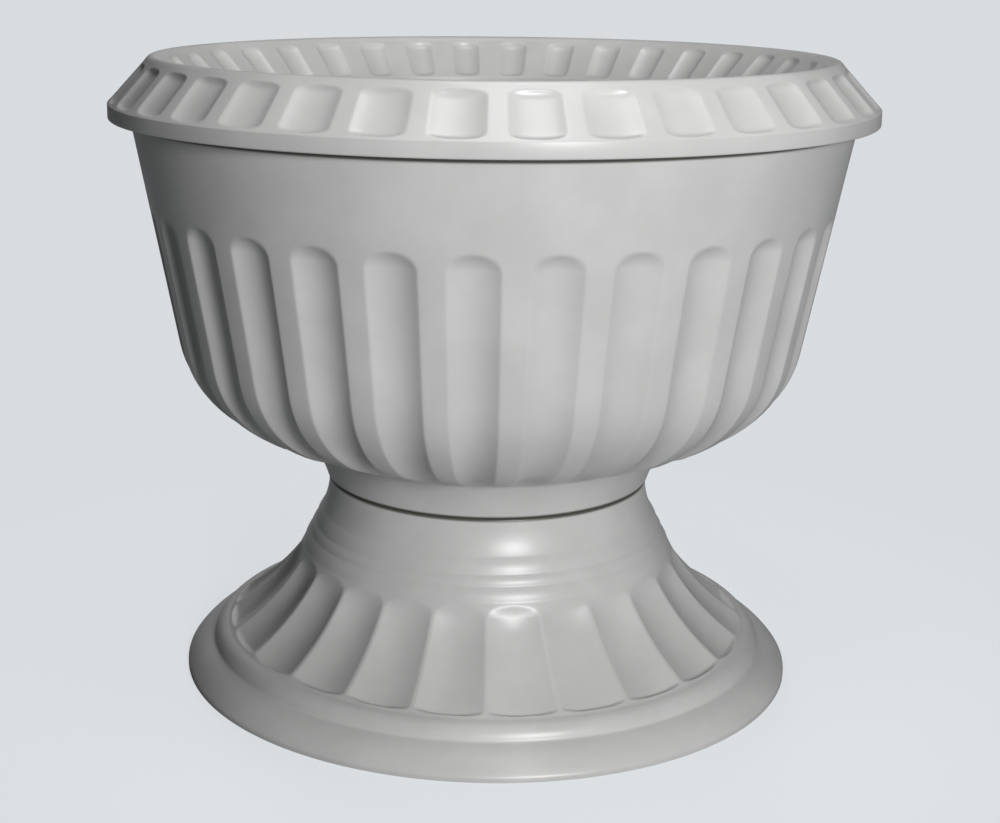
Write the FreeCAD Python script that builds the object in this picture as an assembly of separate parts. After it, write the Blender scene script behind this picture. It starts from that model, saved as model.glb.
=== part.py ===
"""Moulded urn planter with a fluted bowl, a scalloped pedestal and a clip-on rim crown.

Millimetres, +Z up, origin at the centre of the foot on the floor.  -Y is the front.
Pieces: pedestal, bowl, rim_ring, drain_plug.
"""
import FreeCAD, Part
import math
import os

Vector = FreeCAD.Vector
UP = Vector(0, 0, 1)
ORIGIN = Vector(0, 0, 0)

# ---- how finely curves are drawn ------------------------------------------------------
FLATNESS = 1e-5             # four corners within this are one flat face
BEAD_STEPS = 2
FOOT_STEPS = 3
FLARE_STEPS = 4
COLLAR_STEPS = 3
BELLY_STEPS = 4
LIP_STEPS = 4               # even, so that the middle one is the top of the lip
FLUTE_CHORDS = 4
SCALLOP_CHORDS = 4
PANEL_CHORDS = 3
ARCH_ENDS = (0.0, 0.6, 1.0)     # where the arched top of a flute is cut, 1 being its crown

# ---- fits between the pieces ----------------------------------------------------------
SPIGOT_CLEARANCE = 0.6      # bowl collar round the pedestal spigot, on radius
KEY_CLEARANCE = 0.6         # key rib in its notch, each side
RIM_SEAT_CLEARANCE = 0.5    # rim ribs either side of the bowl's edge
PLUG_CLEARANCE = 0.3        # drain plug in its bore, on radius
SPIGOT_HEADROOM = 1.0       # spigot top below the bowl floor

# ---- pedestal -------------------------------------------------------------------------
PEDESTAL_WALL = 3.0
FOOT_RADIUS = 174.0         # at the floor
FOOT_EDGE_HEIGHT = 2.5      # upright edge at the floor
FOOT_CREASE_RADIUS = 158.5
FOOT_CREASE_Z = 14.5
FOOT_BULGE = 1.6            # crown of the lower foot band
FLARE_BOTTOM_RADIUS = 150.0
FLARE_BOTTOM_Z = 23.0
FLARE_LIP_BULGE = 1.0
FLARE_TOP_RADIUS = 106.0
FLARE_TOP_Z = 68.5
FLARE_HOLLOW = 4.2          # how far the trumpet curve falls inside its chord
TURNED_LEDGE = 0.4          # turned bands stand this proud of the fluted ones they meet
UPPER_BEAD_RADIUS = 95.2    # three beads step up from the flare to the neck
UPPER_BEAD_Z = 90.0
MIDDLE_BEAD_RADIUS = 99.3
MIDDLE_BEAD_Z = 81.5
LOWER_BEAD_RADIUS = 102.2
LOWER_BEAD_Z = 76.0
BEAD_BULGE = 0.9
NECK_RADIUS = 91.3
NECK_Z = 104.0              # where the neck turns upright
NECK_HOLLOW = 0.6
COLLAR_OVERHANG = 1.0       # bowl collar past the neck
PEDESTAL_TOP_Z = 110.0      # ledge that carries the bowl
SPIGOT_HEIGHT = 10.0

SCALLOP_COUNT = 24
SCALLOP_PHASE = -7.0        # degrees from the front towards +X
SCALLOP_SHARE = 0.94        # of the pitch, the rest is the ridge between neighbours
SCALLOP_DEPTH = 3.2
SCALLOP_MARGIN = 1.5        # plain strip at each end
SCALLOP_END = 3.0           # length over which each end runs out

GUSSET_COUNT = 8            # stiffening webs inside the pedestal
GUSSET_THICKNESS = 2.4
GUSSET_TOP_RADIUS = 76.0    # inner edge of a web
GUSSET_BOTTOM_RADIUS = 112.0
GUSSET_TOP_Z = 100.0
GUSSET_BOTTOM_Z = 30.0

# ---- bowl -----------------------------------------------------------------------------
BOWL_WALL = 3.0
COLLAR_WALL = 2.8
COLLAR_LAND_HEIGHT = 4.0    # upright stretch inside the collar that guides the spigot
COLLAR_TOP_RADIUS = 103.5
COLLAR_TOP_Z = 126.5
COLLAR_HOLLOW = 1.2
BELLY_START_RADIUS = 134.0
BELLY_START_Z = 143.0
BELLY_BULGE = 4.9
BELLY_END_RADIUS = 173.2
BELLY_END_Z = 183.5
BOWL_EDGE_INSET = 10.4      # edge of the bowl inside the skirt of the rim
BOWL_EDGE_DROP = 26.0       # and below the top of the lip
FLOOR_THICKNESS = 3.5
FLOOR_RIB_COUNT = 8
FLOOR_RIB_THICKNESS = 3.0
FLOOR_RIB_DEPTH = 7.0
KEY_COUNT = 4               # floor ribs that run on through the spigot as keys

FLUTE_COUNT = 30
FLUTE_PHASE = -2.2          # degrees from the front towards +X
FLUTE_SHARE = 0.655         # of the pitch, the rest is the flat land between neighbours
FLUTE_DEPTH = 4.0           # on the wall
FLUTE_FOOT_DEPTH = 2.6      # at the collar
FLUTE_TOP_Z = 269.0         # crown of the arched tops
FLUTE_ARCH_HEIGHT = 10.0
FLUTE_FOOT_GAP = 2.0        # plain strip between the flutes and the collar

# ---- rim ring -------------------------------------------------------------------------
HEIGHT = 348.0              # floor to the top of the lip
RIM_WALL = 2.6
SKIRT_RADIUS = 210.0
SKIRT_DROP = 33.0           # from the top of the lip to the lower edge
SKIRT_BAND_HEIGHT = 8.0
LIP_INSET = 24.0            # middle of the rounded lip inside the skirt
LIP_WIDTH = 7.0
LIP_CROWN = 2.5
MOUTH_INSET = 50.0          # opening inside the skirt
MOUTH_LIP_HEIGHT = 6.0
FUNNEL_DROP = 22.0          # from the lip's edge down to the mouth
PANEL_COUNT = 36
PANEL_PHASE = 0.5           # degrees from the front towards +X
PANEL_SHARE = 0.84          # of the pitch, the rest is the land between neighbours
PANEL_DEPTH = 2.2
PANEL_MARGIN = 1.5          # plain strip at each end of a panel
PANEL_END = 2.0             # length over which each rounded end runs out
RIM_RIB_COUNT = 12
RIM_RIB_THICKNESS = 2.4
RIM_RIB_NOTCH = 5.0         # how far the ribs hang either side of the bowl's edge

# ---- drain plug -----------------------------------------------------------------------
DRAIN_RADIUS = 14.0
DRAIN_BOSS_WALL = 3.5
DRAIN_BOSS_DEPTH = 7.0
PLUG_FLANGE_RADIUS = 19.0
PLUG_FLANGE_THICKNESS = 2.5
PLUG_WALL = 2.2
PLUG_PROUD = 1.0            # above the floor of the bowl
PLUG_TAB_LENGTH = 12.0
PLUG_TAB_WIDTH = 18.0
PLUG_TAB_THICKNESS = 3.0

# ---- sizes that follow ----------------------------------------------------------------
COLLAR_INNER_RADIUS = NECK_RADIUS + COLLAR_OVERHANG - COLLAR_WALL
SPIGOT_RADIUS = COLLAR_INNER_RADIUS - SPIGOT_CLEARANCE
SPIGOT_TOP_Z = PEDESTAL_TOP_Z + SPIGOT_HEIGHT
FLOOR_UNDERSIDE_Z = SPIGOT_TOP_Z + SPIGOT_HEADROOM
FLOOR_Z = FLOOR_UNDERSIDE_Z + FLOOR_THICKNESS
BOWL_EDGE_RADIUS = SKIRT_RADIUS - BOWL_EDGE_INSET
BOWL_EDGE_Z = HEIGHT - BOWL_EDGE_DROP
SKIRT_BOTTOM_Z = HEIGHT - SKIRT_DROP
LIP_RADIUS = SKIRT_RADIUS - LIP_INSET
MOUTH_RADIUS = SKIRT_RADIUS - MOUTH_INSET


# ---- profiles: points are (radius, height), walked upwards on the outside --------------
def bowed(start, end, bulge, steps):
    """Points after start up to end, on a curve that stands out to the right by bulge."""
    run, rise = end[0] - start[0], end[1] - start[1]
    length = math.hypot(run, rise)
    points = []
    for step in range(1, steps + 1):
        share = step / steps
        out = 4 * bulge * share * (1 - share) / length
        points.append((start[0] + run * share + rise * out, start[1] + rise * share - run * out))
    return points


def normals(points):
    """Outward direction at each point, as long as the mitre between its two stretches."""
    sides = []
    for (r0, z0), (r1, z1) in zip(points, points[1:]):
        length = math.hypot(r1 - r0, z1 - z0)
        sides.append(((z1 - z0) / length, (r0 - r1) / length))
    sides = [sides[0]] + sides + [sides[-1]]
    mitres = []
    for (a, b), (c, d) in zip(sides, sides[1:]):
        share = 1.0 / (1.0 + a * c + b * d)
        mitres.append(((a + c) * share, (b + d) * share))
    return mitres


def inset(points, wall):
    """The points moved into the material by wall."""
    return [(r - a * wall, z - b * wall) for (r, z), (a, b) in zip(points, normals(points))]


def on_line(start, end, z):
    """The point at height z on the line through start and end."""
    share = (z - start[1]) / (end[1] - start[1])
    return (start[0] + (end[0] - start[0]) * share, z)


def along(start, end, distance):
    """The point at that distance from start towards end."""
    share = distance / math.hypot(end[0] - start[0], end[1] - start[1])
    return (start[0] + (end[0] - start[0]) * share, start[1] + (end[1] - start[1]) * share)


# ---- solids from profiles ---------------------------------------------------------------
def upright(points):
    """Flat face in the plane through the axis, inside the given corners."""
    return Part.Face(Part.makePolygon([Vector(r, 0, z) for r, z in points + points[:1]]))


def turned(points):
    """Solid of revolution of the closed outline."""
    return upright(points).revolve(ORIGIN, UP, 360)


def web(points, thickness):
    """Upright radial plate with the given outline."""
    plate = upright(points)
    plate.translate(Vector(0, -thickness / 2, 0))
    return plate.extrude(Vector(0, thickness, 0))


def around(tool, count):
    """Copies of a tool that lies towards +X, spaced evenly round the axis."""
    copies = []
    for index in range(count):
        copy = tool.copy()
        copy.rotate(ORIGIN, UP, index * 360.0 / count)
        copies.append(copy)
    return copies


def flat_faces(a, b, c, d):
    """The four corners as one flat face, or as two triangles where they are twisted."""
    if abs((b - a).cross(c - a).normalize().dot(d - a)) < FLATNESS:
        return [Part.Face(Part.makePolygon([a, b, c, d, a]))]
    return [Part.Face(Part.makePolygon([a, b, c, a])), Part.Face(Part.makePolygon([a, c, d, a]))]


ROUND = 2                   # hollow like a dish
BOXY = 4                    # hollow like a tray, with a flat floor and round corners


class Flutes:
    """A ring of hollows round the axis, each as wide as a share of its pitch."""

    def __init__(self, count, phase, share, chords, roundness):
        self.count = count
        self.phase = phase
        self.share = share
        self.chords = chords
        self.roundness = roundness

    def ring(self, point, normal, depth, end):
        """Outline round the axis, depth deep in each hollow, and plain once end reaches 1."""
        pitch = 2 * math.pi / self.count
        corners = []
        for index in range(self.count):
            middle = math.radians(self.phase) + index * pitch
            for step in range(self.chords + 1):
                across = 2 * step / self.chords - 1
                dip = depth * max(0.0, 1 - abs(across) ** self.roundness - end ** self.roundness)
                angle = middle + across * self.share * pitch / 2
                radius = point[0] - normal[0] * dip
                corners.append(Vector(radius * math.sin(angle), -radius * math.cos(angle),
                                      point[1] - normal[1] * dip))
        return corners

    def loft(self, stations):
        """Flat-sided solid through the stations, each a point of the profile, a depth and an end."""
        points = [station[0] for station in stations]
        rings = [self.ring(point, normal, depth, end)
                 for (point, depth, end), normal in zip(stations, normals(points))]
        size = len(rings[0])
        faces = [Part.Face(Part.makePolygon(ring + ring[:1])) for ring in (rings[0], rings[-1])]
        for lower, upper in zip(rings, rings[1:]):
            for index in range(size):
                faces += flat_faces(lower[index - 1], lower[index], upper[index], upper[index - 1])
        shell = Part.makeShell(faces)
        shell.sewShape()
        return Part.makeSolid(shell)


BOWL_FLUTES = Flutes(FLUTE_COUNT, FLUTE_PHASE, FLUTE_SHARE, FLUTE_CHORDS, ROUND)
RIM_PANELS = Flutes(PANEL_COUNT, PANEL_PHASE, PANEL_SHARE, PANEL_CHORDS, BOXY)
FOOT_SCALLOPS = Flutes(SCALLOP_COUNT, SCALLOP_PHASE, SCALLOP_SHARE, SCALLOP_CHORDS, ROUND)


def plain(points):
    """Stations without a hollow."""
    return [(point, 0.0, 1.0) for point in points]


def hollowed(points, depth, margin, run_out):
    """Stations along the points whose hollow starts and ends margin inside them."""
    first, last = points[0], points[-1]
    foot = along(first, points[1], margin)
    head = along(last, points[-2], margin)
    stations = [(first, 0.0, 1.0), (foot, depth, 1.0), (along(foot, points[1], run_out), depth, 0.0)]
    stations += [(point, depth, 0.0) for point in points[1:-1]]
    stations += [(along(head, points[-2], run_out), depth, 0.0), (head, depth, 1.0), (last, 0.0, 1.0)]
    return stations


# ---- pieces ----------------------------------------------------------------------------
def pedestal():
    """Hollow trumpet foot with beads, a ledge and a notched spigot for the bowl."""
    floor_edge = (FOOT_RADIUS, FOOT_EDGE_HEIGHT)
    crease = (FOOT_CREASE_RADIUS, FOOT_CREASE_Z)
    flare_foot = (FLARE_BOTTOM_RADIUS, FLARE_BOTTOM_Z)
    flare_head = (FLARE_TOP_RADIUS, FLARE_TOP_Z)
    lower_bead = (LOWER_BEAD_RADIUS, LOWER_BEAD_Z)
    middle_bead = (MIDDLE_BEAD_RADIUS, MIDDLE_BEAD_Z)
    upper_bead = (UPPER_BEAD_RADIUS, UPPER_BEAD_Z)
    neck_foot = (NECK_RADIUS, NECK_Z)

    foot = [(FOOT_RADIUS, 0), floor_edge]
    foot += bowed(floor_edge, crease, FOOT_BULGE, FOOT_STEPS)
    foot += bowed(crease, flare_foot, FLARE_LIP_BULGE, BEAD_STEPS)
    flare = [(FLARE_BOTTOM_RADIUS - TURNED_LEDGE, FLARE_BOTTOM_Z)]
    flare += bowed(flare[0], (FLARE_TOP_RADIUS - TURNED_LEDGE, FLARE_TOP_Z), -FLARE_HOLLOW, FLARE_STEPS)
    neck = [flare_head]
    neck += bowed(flare_head, lower_bead, BEAD_BULGE, BEAD_STEPS)
    neck += bowed(lower_bead, middle_bead, BEAD_BULGE, BEAD_STEPS)
    neck += bowed(middle_bead, upper_bead, BEAD_BULGE, BEAD_STEPS)
    neck += bowed(upper_bead, neck_foot, -NECK_HOLLOW, BEAD_STEPS)
    neck += [(NECK_RADIUS, PEDESTAL_TOP_Z)]

    body = turned(foot + [(0, FLARE_BOTTOM_Z), (0, 0)])
    head = turned(neck + [(SPIGOT_RADIUS, PEDESTAL_TOP_Z), (SPIGOT_RADIUS, SPIGOT_TOP_Z),
                          (0, SPIGOT_TOP_Z), (0, FLARE_TOP_Z)])
    trumpet = FOOT_SCALLOPS.loft(hollowed(flare, SCALLOP_DEPTH, SCALLOP_MARGIN, SCALLOP_END))

    inner = inset([(FOOT_RADIUS, 0), floor_edge, crease, flare_foot], PEDESTAL_WALL)[:-1]
    inner += inset(flare, PEDESTAL_WALL + SCALLOP_DEPTH)
    inner += inset([flare_head, lower_bead, middle_bead, upper_bead, neck_foot, (NECK_RADIUS, PEDESTAL_TOP_Z),
                    (SPIGOT_RADIUS, PEDESTAL_TOP_Z), (SPIGOT_RADIUS, SPIGOT_TOP_Z)], PEDESTAL_WALL)[1:-1]
    spigot_bore = SPIGOT_RADIUS - PEDESTAL_WALL
    inner += [(spigot_bore, SPIGOT_TOP_Z)]
    cavity = turned(inner + [(0, SPIGOT_TOP_Z), (0, 0)])
    gusset = web([(GUSSET_TOP_RADIUS, GUSSET_TOP_Z), (GUSSET_BOTTOM_RADIUS, GUSSET_BOTTOM_Z),
                  (FOOT_RADIUS, GUSSET_BOTTOM_Z), (FOOT_RADIUS, GUSSET_TOP_Z)], GUSSET_THICKNESS)
    cavity = cavity.cut(around(gusset, GUSSET_COUNT))
    notch_foot = SPIGOT_TOP_Z - FLOOR_RIB_DEPTH + SPIGOT_HEADROOM - KEY_CLEARANCE
    notch = web([(spigot_bore - 1, notch_foot), (SPIGOT_RADIUS + 1, notch_foot),
                 (SPIGOT_RADIUS + 1, SPIGOT_TOP_Z + 1), (spigot_bore - 1, SPIGOT_TOP_Z + 1)],
                FLOOR_RIB_THICKNESS + 2 * KEY_CLEARANCE)
    return body.fuse([trumpet, head]).cut(cavity).cut(around(notch, KEY_COUNT))


def bowl():
    """Deep round-bellied fluted bowl on a short collar, with a ribbed floor and a drain."""
    seat = (COLLAR_INNER_RADIUS + COLLAR_WALL, PEDESTAL_TOP_Z)
    collar_top = (COLLAR_TOP_RADIUS, COLLAR_TOP_Z)
    belly_foot = (BELLY_START_RADIUS, BELLY_START_Z)
    belly_top = (BELLY_END_RADIUS, BELLY_END_Z)
    rim_edge = (BOWL_EDGE_RADIUS, BOWL_EDGE_Z)
    collar = [seat] + bowed(seat, collar_top, -COLLAR_HOLLOW, COLLAR_STEPS)

    start = (COLLAR_TOP_RADIUS - TURNED_LEDGE, COLLAR_TOP_Z)
    foot = along(start, belly_foot, FLUTE_FOOT_GAP)
    stations = [(start, 0.0, 1.0), (foot, FLUTE_FOOT_DEPTH, 1.0),
                (along(foot, belly_foot, FLUTE_FOOT_GAP), FLUTE_FOOT_DEPTH, 0.0)]
    for point in [belly_foot] + bowed(belly_foot, belly_top, BELLY_BULGE, BELLY_STEPS):
        share = (point[1] - COLLAR_TOP_Z) / (BELLY_END_Z - COLLAR_TOP_Z)
        stations.append((point, FLUTE_FOOT_DEPTH + (FLUTE_DEPTH - FLUTE_FOOT_DEPTH) * share, 0.0))
    for end in ARCH_ENDS:
        height = FLUTE_TOP_Z - FLUTE_ARCH_HEIGHT * (1 - end)
        stations.append((on_line(belly_top, rim_edge, height), FLUTE_DEPTH, end))
    stations.append((rim_edge, 0.0, 1.0))

    inner = inset([station[0] for station in stations], BOWL_WALL)
    inner[0] = on_line(inner[0], inner[1], FLOOR_Z)
    inner[-1] = on_line(inner[-2], inner[-1], BOWL_EDGE_Z)
    soil = BOWL_FLUTES.loft([(point, depth, end) for point, (_, depth, end) in zip(inner, stations)])

    guide_top = PEDESTAL_TOP_Z + COLLAR_LAND_HEIGHT
    recess_radius = COLLAR_INNER_RADIUS + FLOOR_UNDERSIDE_Z - guide_top
    recess = turned([(COLLAR_INNER_RADIUS, PEDESTAL_TOP_Z), (COLLAR_INNER_RADIUS, guide_top),
                     (recess_radius, FLOOR_UNDERSIDE_Z), (0, FLOOR_UNDERSIDE_Z), (0, PEDESTAL_TOP_Z)])
    rib_foot = FLOOR_UNDERSIDE_Z - FLOOR_RIB_DEPTH
    boss_radius = DRAIN_RADIUS + DRAIN_BOSS_WALL

    def floor_rib(reach):
        return web([(boss_radius - 1, rib_foot), (reach, rib_foot),
                    (reach, FLOOR_UNDERSIDE_Z), (boss_radius - 1, FLOOR_UNDERSIDE_Z)], FLOOR_RIB_THICKNESS)

    short_reach = SPIGOT_RADIUS - PEDESTAL_WALL - 2 * SPIGOT_CLEARANCE
    ribs = around(floor_rib(short_reach), FLOOR_RIB_COUNT) + around(floor_rib(recess_radius), KEY_COUNT)
    boss = Part.makeCylinder(boss_radius, DRAIN_BOSS_DEPTH, Vector(0, 0, FLOOR_UNDERSIDE_Z - DRAIN_BOSS_DEPTH))
    drain = Part.makeCylinder(DRAIN_RADIUS, FLOOR_Z, Vector(0, 0, PEDESTAL_TOP_Z))
    body = turned(collar + [(0, COLLAR_TOP_Z), (0, PEDESTAL_TOP_Z)]).fuse(BOWL_FLUTES.loft(stations))
    return body.cut([soil, recess.cut(ribs + [boss]), drain])


def rim_ring():
    """Inverted-V crown with panelled slopes, whose radial ribs sit over the edge of the bowl."""
    lip_z = HEIGHT - LIP_CROWN
    lip_outer = (LIP_RADIUS + LIP_WIDTH / 2, lip_z)
    lip_inner = (LIP_RADIUS - LIP_WIDTH / 2, lip_z)
    skirt_foot = (SKIRT_RADIUS, SKIRT_BOTTOM_Z)
    skirt_head = (SKIRT_RADIUS, SKIRT_BOTTOM_Z + SKIRT_BAND_HEIGHT)
    mouth_head = (MOUTH_RADIUS, lip_z - FUNNEL_DROP)
    mouth_foot = (MOUTH_RADIUS, mouth_head[1] - MOUTH_LIP_HEIGHT)
    below = SKIRT_BOTTOM_Z - 1
    lip = bowed(lip_outer, lip_inner, LIP_CROWN, LIP_STEPS)

    slope = hollowed([skirt_head, lip_outer], PANEL_DEPTH, PANEL_MARGIN, PANEL_END)
    crown = RIM_PANELS.loft(plain([skirt_foot]) + slope + plain(lip[:LIP_STEPS // 2]))
    funnel_slope = hollowed([lip_inner, mouth_head], PANEL_DEPTH, PANEL_MARGIN, PANEL_END)
    funnel = RIM_PANELS.loft(plain(lip[LIP_STEPS // 2 - 1:-1]) + funnel_slope
                             + plain([mouth_foot, (MOUTH_RADIUS, below)]))

    core = RIM_WALL + PANEL_DEPTH
    roof = lip_z - core
    outer_foot, outer_head = inset([skirt_head, lip_outer], core)
    inner_head, inner_foot = inset([lip_inner, mouth_head], core)
    cavity_radius = SKIRT_RADIUS - RIM_WALL
    mouth_wall = MOUTH_RADIUS + RIM_WALL
    shoulder = on_line(outer_foot[::-1], outer_head[::-1], cavity_radius)[::-1]
    mouth_shoulder = on_line(inner_head[::-1], inner_foot[::-1], mouth_wall)[::-1]
    cavity = turned([(cavity_radius, below), shoulder, on_line(outer_foot, outer_head, roof),
                     on_line(inner_head, inner_foot, roof), mouth_shoulder, (mouth_wall, below)])
    rib_foot = BOWL_EDGE_Z - RIM_RIB_NOTCH
    rib = web([(MOUTH_RADIUS, rib_foot), (SKIRT_RADIUS, rib_foot),
               (SKIRT_RADIUS, HEIGHT), (MOUTH_RADIUS, HEIGHT)], RIM_RIB_THICKNESS)
    lean = (BOWL_EDGE_RADIUS - BELLY_END_RADIUS) / (BOWL_EDGE_Z - BELLY_END_Z) * RIM_RIB_NOTCH
    notch_inner = BOWL_EDGE_RADIUS - BOWL_WALL - lean - 2 * RIM_SEAT_CLEARANCE
    notch_outer = BOWL_EDGE_RADIUS + RIM_SEAT_CLEARANCE
    notch = web([(notch_inner, rib_foot - 1), (notch_outer, rib_foot - 1),
                 (notch_outer, BOWL_EDGE_Z), (notch_inner, BOWL_EDGE_Z)], 2 * RIM_RIB_THICKNESS)
    return crown.cut([funnel, cavity.cut(around(rib.cut(notch), RIM_RIB_COUNT))])


def drain_plug():
    """Hollow bung pushed up into the drain, with a flange and a pull tab."""
    boss_foot = FLOOR_UNDERSIDE_Z - DRAIN_BOSS_DEPTH
    top = FLOOR_Z + PLUG_PROUD
    barrel = DRAIN_RADIUS - PLUG_CLEARANCE
    foot = boss_foot - PLUG_FLANGE_THICKNESS
    bung = turned([(PLUG_FLANGE_RADIUS, foot), (PLUG_FLANGE_RADIUS, boss_foot), (barrel, boss_foot),
                   (barrel, top - PLUG_WALL / 2), (barrel - PLUG_WALL / 2, top), (0, top), (0, foot)])
    well = Part.makeCylinder(barrel - PLUG_WALL, top - PLUG_WALL - foot, Vector(0, 0, foot))
    tab = web([(-PLUG_TAB_WIDTH / 2, foot - PLUG_TAB_LENGTH), (PLUG_TAB_WIDTH / 2, foot - PLUG_TAB_LENGTH),
               (PLUG_TAB_WIDTH / 2, top - PLUG_WALL), (-PLUG_TAB_WIDTH / 2, top - PLUG_WALL)], PLUG_TAB_THICKNESS)
    eye = Part.makeCylinder(PLUG_TAB_WIDTH / 4, 2 * PLUG_TAB_THICKNESS,
                            Vector(0, -PLUG_TAB_THICKNESS, foot - PLUG_TAB_LENGTH / 2), Vector(0, 1, 0))
    return bung.cut(well).fuse(tab.cut(eye))


PIECES = {
    "pedestal": pedestal,
    "bowl": bowl,
    "rim_ring": rim_ring,
    "drain_plug": drain_plug,
}


def main():
    """Write one STEP file per piece."""
    os.makedirs("parts", exist_ok=True)
    for name, make in PIECES.items():
        shape = make()
        shape.exportStep(os.path.join("parts", name + ".step"))
        print(name, shape.isValid(), len(shape.Solids), round(shape.Volume / 1000, 1), "cm3")


main()
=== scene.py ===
"""Looks of a moulded urn planter: fluted bowl, scalloped pedestal and panelled rim crown.

Everything is in metres, +Z up, with -Y to the front.  The three large mouldings, all of satin
polypropylene, are turned from one wedge each: the wedge is drawn along the wall's section, its hollows
are pressed in, and it is copied round the axis.  Webs, ribs and keys are cut plates, and the drain plug
keeps its own solid.  Sections are lists of points, each a radius and a height in millimetres.
"""
import logging
import math
from dataclasses import dataclass, field
from enum import Enum

import bmesh
import bpy
from mathutils import Matrix, Vector


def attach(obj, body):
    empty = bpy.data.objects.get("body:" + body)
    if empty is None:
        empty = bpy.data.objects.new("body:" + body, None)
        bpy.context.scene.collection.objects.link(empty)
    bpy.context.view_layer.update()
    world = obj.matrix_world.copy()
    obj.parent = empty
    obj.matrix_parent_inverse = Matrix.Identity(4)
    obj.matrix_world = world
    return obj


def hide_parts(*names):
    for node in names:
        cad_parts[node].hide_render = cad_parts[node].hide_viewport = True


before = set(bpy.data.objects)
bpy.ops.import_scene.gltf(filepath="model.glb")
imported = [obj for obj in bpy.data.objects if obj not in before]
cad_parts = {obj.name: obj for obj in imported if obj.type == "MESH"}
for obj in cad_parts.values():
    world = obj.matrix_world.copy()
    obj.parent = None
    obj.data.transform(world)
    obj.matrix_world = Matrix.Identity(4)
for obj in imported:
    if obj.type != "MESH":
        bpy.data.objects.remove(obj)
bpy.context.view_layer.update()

MM = 0.001
Point = tuple[float, float]

STRAIGHT_COSINE = 0.985     # a corner flatter than this isn't rounded
SIDE_SHARE = 0.42           # the most that a rounding takes off a side
PLAIN_STRETCH = 14.0        # longest stretch of a plain wall, in millimetres
FAR_OUT = 4.0               # place in a run-out beyond which nothing is pressed
SHARP_ANGLE = 40.0          # degrees above which an edge stays sharp
WEDGE_WELD = 0.01           # distance within which the wedges' points are one, in millimetres
PLATE_WELD = 0.001          # the same for the plates, whose moulded edges are finer
SHADE_LINE_CORE = 0.3             # share of a painted shade line's half width that is darkest

# Sockets of the colour mix node by place, as their names are shared with its other kinds.
MIX_FACTOR, MIX_FIRST, MIX_SECOND, MIX_RESULT = 0, 6, 7, 2

logging.basicConfig(level=logging.INFO, format="%(name)s: %(message)s")
log = logging.getLogger("urn_planter")


# ---- small helpers --------------------------------------------------------------------
def linear(hex_colour: str) -> tuple[float, float, float, float]:
    """Turns an sRGB hex colour into the linear values that shaders take.

    Args:
        hex_colour: Six hex digits after a hash sign.

    Returns:
        Linear red, green, blue and an alpha of 1.
    """
    values = [int(hex_colour[index:index + 2], 16) / 255 for index in (1, 3, 5)]
    red, green, blue = [v / 12.92 if v <= 0.04045 else ((v + 0.055) / 1.055) ** 2.4 for v in values]
    return (red, green, blue, 1.0)


def empty_tree(holder: bpy.types.ID) -> bpy.types.NodeTree:
    """Gives a material or a world a node tree with nothing in it.

    Args:
        holder: New material or world.

    Returns:
        Its empty node tree.
    """
    holder.use_nodes = True
    holder.node_tree.nodes.clear()
    return holder.node_tree


def add_node(tree: bpy.types.NodeTree, kind: str, settings: dict, links: dict) -> bpy.types.Node:
    """Adds a shader node, sets it up and links its inputs.

    Args:
        tree: Node tree that takes the node.
        kind: Blender's type name of the node.
        settings: Attributes by name, and values of input sockets by name or place.
        links: Output sockets by the name or place of the input socket that they feed.

    Returns:
        The new node.
    """
    node = tree.nodes.new(kind)
    for key, value in settings.items():
        if isinstance(key, str) and hasattr(node, key) and key not in node.inputs:
            setattr(node, key, value)
        else:
            node.inputs[key].default_value = value
    for key, output in links.items():
        tree.links.new(output, node.inputs[key])
    return node


def deselect() -> None:
    """Deselects every object, so that an operator acts on the new piece alone."""
    bpy.ops.object.select_all(action="DESELECT")


def choose(piece: bpy.types.Object) -> None:
    """Makes a piece the active object and the only selected one.

    Args:
        piece: Object that the next operators act on.
    """
    deselect()
    piece.select_set(True)
    bpy.context.view_layer.objects.active = piece


# ---- sections of the walls ------------------------------------------------------------
def bowed(start: Point, end: Point, bulge: float, steps: int) -> list[Point]:
    """Draws a shallow curve that stands out to the right of the line from start to end.

    Args:
        start: First point.
        end: Last point.
        bulge: How far the middle stands out, negative for a hollow.
        steps: Number of stretches.

    Returns:
        The points after start, up to end.
    """
    run, rise = end[0] - start[0], end[1] - start[1]
    length = math.hypot(run, rise)
    points = []
    for step in range(1, steps + 1):
        share = step / steps
        out = 4 * bulge * share * (1 - share) / length
        points.append((start[0] + run * share + rise * out, start[1] + rise * share - run * out))
    return points


def flowing(start: Point, knee: Point, end: Point, steps: int) -> list[Point]:
    """Draws a curve that leaves start towards the knee and reaches end from the knee.

    Args:
        start: First point.
        knee: Where the two end directions meet.
        end: Last point.
        steps: Number of stretches.

    Returns:
        The points after start, up to end.
    """
    shares = [step / steps for step in range(1, steps + 1)]
    return [tuple((1 - share) ** 2 * s + 2 * share * (1 - share) * k + share ** 2 * e
                  for s, k, e in zip(start, knee, end)) for share in shares]


def softened(points: list[Point], radius: float) -> list[Point]:
    """Rounds the corners of a section as a mould maker's radius does.

    Args:
        points: Corners of the section.
        radius: Length taken off each side of a corner, less where the sides are short.

    Returns:
        The section with each sharp corner replaced by four points of a curve.
    """
    rounded = [points[0]]
    for before, corner, after in zip(points, points[1:], points[2:]):
        into, out = math.dist(before, corner), math.dist(corner, after)
        cosine = sum((c - b) * (a - c) for a, b, c in zip(after, before, corner)) / (into * out)
        if cosine > STRAIGHT_COSINE:
            rounded.append(corner)
            continue
        reach = min(radius, into * SIDE_SHARE, out * SIDE_SHARE)
        first = tuple(c + (b - c) * reach / into for b, c in zip(before, corner))
        last = tuple(c + (a - c) * reach / out for a, c in zip(after, corner))
        rounded += [first] + flowing(first, corner, last, 3)
    return rounded + [points[-1]]


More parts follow.
